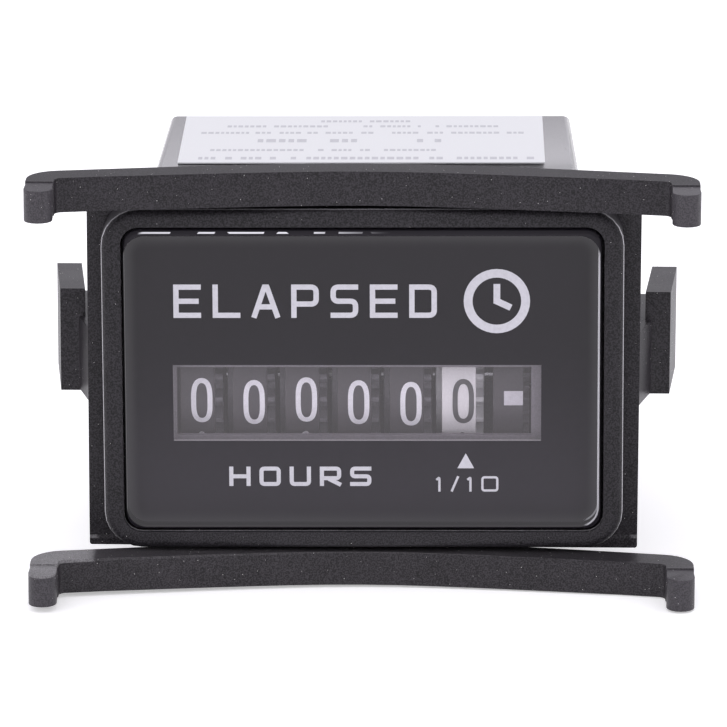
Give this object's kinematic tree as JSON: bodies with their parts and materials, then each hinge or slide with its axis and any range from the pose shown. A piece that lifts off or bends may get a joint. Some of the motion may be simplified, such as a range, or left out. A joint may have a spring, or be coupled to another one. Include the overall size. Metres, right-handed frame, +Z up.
{
  "type": "hour meter",
  "caption": "Miniature panel hour meter: black snap-in case with lens and dial, number wheels, running indicator, blade terminals and a sliding bow-spring mounting clip.",
  "frame": {"origin": "centre of the panel cut-out, in the plane of the bezel's rear face", "axes": "+X to the right as the dial is read, +Y back through the panel, +Z up"},
  "size_m": [0.0546, 0.0602, 0.0354],
  "materials": {
    "case_plastic": "fine-grained black moulding",
    "clear_plastic": "clear polished",
    "dial_black": "dark grey print on clear sheet",
    "label_white": "printed label",
    "frame_plastic": "black moulding",
    "wheel_white": "white moulding",
    "wheel_black": "black moulding",
    "gear_plastic": "natural acetal",
    "steel": "ground",
    "magnet": "plastic-bonded ferrite",
    "stator_steel": "stamped lamination",
    "bobbin_plastic": "natural nylon",
    "copper_wire": "enamelled copper wire",
    "board_green": "solder-masked laminate",
    "chip_black": "moulded epoxy",
    "capacitor_sleeve": "shrunk sleeve",
    "can_metal": "drawn can",
    "resistor_tan": "lacquered",
    "diode_black": "moulded epoxy",
    "tinned_brass": "tinned",
    "clip_plastic": "black moulding, slightly satin"
  },
  "bodies": {
    "meter": {"case_body": "case_plastic", "rear_cover": "case_plastic", "lens": "clear_plastic", "dial_plate": "dial_black", "rating_label": "label_white", "counter_frame": "frame_plastic", "pinion_shaft": "steel", "reduction_stud": "steel", "idler_arbor": "steel", "motor_bridge": "frame_plastic", "stator": "stator_steel", "coil_core": "stator_steel", "coil_bobbin": "bobbin_plastic", "coil_winding": "copper_wire", "circuit_board": "board_green", "driver_chip": "chip_black", "capacitor": "capacitor_sleeve", "quartz_crystal": "can_metal", "resistor": "resistor_tan", "diode": "diode_black", "terminal_left": "tinned_brass", "terminal_right": "tinned_brass"},
    "tenths_wheel": {"wheel_tenths": "wheel_white", "wheel_shaft": "steel", "shaft_gear": "gear_plastic"},
    "units_wheel": {"wheel_units": "wheel_black"},
    "tens_wheel": {"wheel_tens": "wheel_black"},
    "hundreds_wheel": {"wheel_hundreds": "wheel_black"},
    "thousands_wheel": {"wheel_thousands": "wheel_black"},
    "ten_thousands_wheel": {"wheel_ten_thousands": "wheel_black"},
    "carry_pinion_1": {"carry_pinion_1": "gear_plastic"},
    "carry_pinion_2": {"carry_pinion_2": "gear_plastic"},
    "carry_pinion_3": {"carry_pinion_3": "gear_plastic"},
    "carry_pinion_4": {"carry_pinion_4": "gear_plastic"},
    "carry_pinion_5": {"carry_pinion_5": "gear_plastic"},
    "indicator_wheel": {"indicator_wheel": "wheel_black"},
    "reduction_gear": {"reduction_gear": "gear_plastic"},
    "idler_gear": {"idler_gear": "gear_plastic"},
    "rotor": {"rotor": "magnet"},
    "clip": {"mounting_clip": "clip_plastic"}
  },
  "joints": [
    {"name": "tenths_spin", "type": "hinge", "parent": "meter", "child": "tenths_wheel", "pos_m": [0.00785, 0.0076, -0.0026], "axis": [1, 0, 0], "continuous": true},
    {"name": "units_spin", "type": "hinge", "parent": "meter", "child": "units_wheel", "pos_m": [0.00353, 0.0076, -0.0026], "axis": [1, 0, 0], "continuous": true},
    {"name": "tens_spin", "type": "hinge", "parent": "meter", "child": "tens_wheel", "pos_m": [-0.00078, 0.0076, -0.0026], "axis": [1, 0, 0], "continuous": true},
    {"name": "hundreds_spin", "type": "hinge", "parent": "meter", "child": "hundreds_wheel", "pos_m": [-0.00509, 0.0076, -0.0026], "axis": [1, 0, 0], "continuous": true},
    {"name": "thousands_spin", "type": "hinge", "parent": "meter", "child": "thousands_wheel", "pos_m": [-0.00941, 0.0076, -0.0026], "axis": [1, 0, 0], "continuous": true},
    {"name": "ten_thousands_spin", "type": "hinge", "parent": "meter", "child": "ten_thousands_wheel", "pos_m": [-0.01372, 0.0076, -0.0026], "axis": [1, 0, 0], "continuous": true},
    {"name": "pinion_1_spin", "type": "hinge", "parent": "meter", "child": "carry_pinion_1", "pos_m": [0.00569, 0.00448, 0.00485], "axis": [1, 0, 0], "continuous": true},
    {"name": "pinion_2_spin", "type": "hinge", "parent": "meter", "child": "carry_pinion_2", "pos_m": [0.00138, 0.00448, 0.00485], "axis": [1, 0, 0], "continuous": true},
    {"name": "pinion_3_spin", "type": "hinge", "parent": "meter", "child": "carry_pinion_3", "pos_m": [-0.00294, 0.00448, 0.00485], "axis": [1, 0, 0], "continuous": true},
    {"name": "pinion_4_spin", "type": "hinge", "parent": "meter", "child": "carry_pinion_4", "pos_m": [-0.00725, 0.00448, 0.00485], "axis": [1, 0, 0], "continuous": true},
    {"name": "pinion_5_spin", "type": "hinge", "parent": "meter", "child": "carry_pinion_5", "pos_m": [-0.01157, 0.00448, 0.00485], "axis": [1, 0, 0], "continuous": true},
    {"name": "reduction_spin", "type": "hinge", "parent": "meter", "child": "reduction_gear", "pos_m": [0.01396, 0.01358, 0.00241], "axis": [1, 0, 0], "continuous": true},
    {"name": "indicator_spin", "type": "hinge", "parent": "meter", "child": "indicator_wheel", "pos_m": [0.01192, 0.0076, -0.0026], "axis": [1, 0, 0], "continuous": true},
    {"name": "idler_spin", "type": "hinge", "parent": "meter", "child": "idler_gear", "pos_m": [0.01316, 0.01765, -0.00529], "axis": [1, 0, 0], "continuous": true},
    {"name": "rotor_spin", "type": "hinge", "parent": "meter", "child": "rotor", "pos_m": [0.01316, 0.02267, -0.00395], "axis": [1, 0, 0], "continuous": true},
    {"name": "clip_slide", "type": "slide", "parent": "meter", "child": "clip", "axis": [0, 1, 0], "range_m": [0, 0.05]}
  ],
  "couplings": [
    {"joint": "units_spin", "follows": "tenths_spin", "ratio": 0.1},
    {"joint": "tens_spin", "follows": "tenths_spin", "ratio": 0.01},
    {"joint": "hundreds_spin", "follows": "tenths_spin", "ratio": 0.001},
    {"joint": "thousands_spin", "follows": "tenths_spin", "ratio": 0.0001},
    {"joint": "ten_thousands_spin", "follows": "tenths_spin", "ratio": 0.00001},
    {"joint": "pinion_1_spin", "follows": "tenths_spin", "ratio": -0.25},
    {"joint": "pinion_2_spin", "follows": "tenths_spin", "ratio": -0.025},
    {"joint": "pinion_3_spin", "follows": "tenths_spin", "ratio": -0.0025},
    {"joint": "pinion_4_spin", "follows": "tenths_spin", "ratio": -0.00025},
    {"joint": "pinion_5_spin", "follows": "tenths_spin", "ratio": -0.000025},
    {"joint": "reduction_spin", "follows": "tenths_spin", "ratio": -5},
    {"joint": "indicator_spin", "follows": "tenths_spin", "ratio": 25},
    {"joint": "idler_spin", "follows": "tenths_spin", "ratio": -41.667},
    {"joint": "rotor_spin", "follows": "tenths_spin", "ratio": 125}
  ]
}
